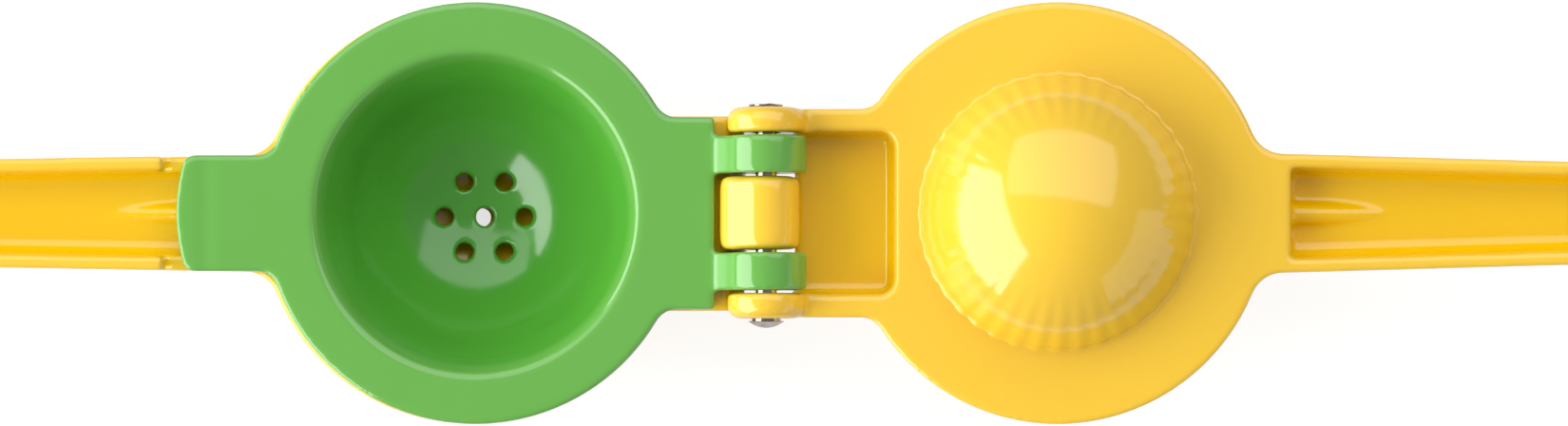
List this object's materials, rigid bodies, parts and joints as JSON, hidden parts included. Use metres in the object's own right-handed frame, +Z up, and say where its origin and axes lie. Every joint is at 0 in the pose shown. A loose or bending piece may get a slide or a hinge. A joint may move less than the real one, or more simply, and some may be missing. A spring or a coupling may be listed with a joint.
{
  "type": "hinged lemon squeezer",
  "caption": "Hinged hand squeezer for lemons and limes, lying open: a lemon bowl arm with a loose lime cup in it, and a press arm with a fluted dome, all on one rivet.",
  "frame": {"origin": "on the surface that the lemon bowl rests on, straight below the hinge pin and midway across it; the bottom centre of the bounding box", "axes": "+X from the pin along the press arm's handle, +Y along the pin towards its peened tail, +Z up out of the bowls; the arms lie open flat"},
  "size_m": [0.434, 0.08, 0.0566],
  "materials": {
    "yellow_coat": "gloss enamel on cast aluminium, lemon yellow",
    "green_coat": "gloss enamel on cast aluminium, lime green",
    "rivet_steel": "plain steel rivet, satin"
  },
  "bodies": {
    "lower_arm": {"lower_arm": "yellow_coat"},
    "lime_cup": {"lime_cup": "green_coat"},
    "upper_arm": {"upper_arm": "yellow_coat", "hinge_pin": "rivet_steel"}
  },
  "joints": [
    {"name": "upper_arm_hinge", "type": "hinge", "parent": "lower_arm", "child": "upper_arm", "pos_m": [0, 0, 0.0356], "axis": [0, -1, 0], "range_deg": [0, 180]},
    {"name": "lime_cup_hinge", "type": "hinge", "parent": "lower_arm", "child": "lime_cup", "pos_m": [0, 0, 0.0356], "axis": [0, 1, 0], "range_deg": [0, 180]}
  ]
}
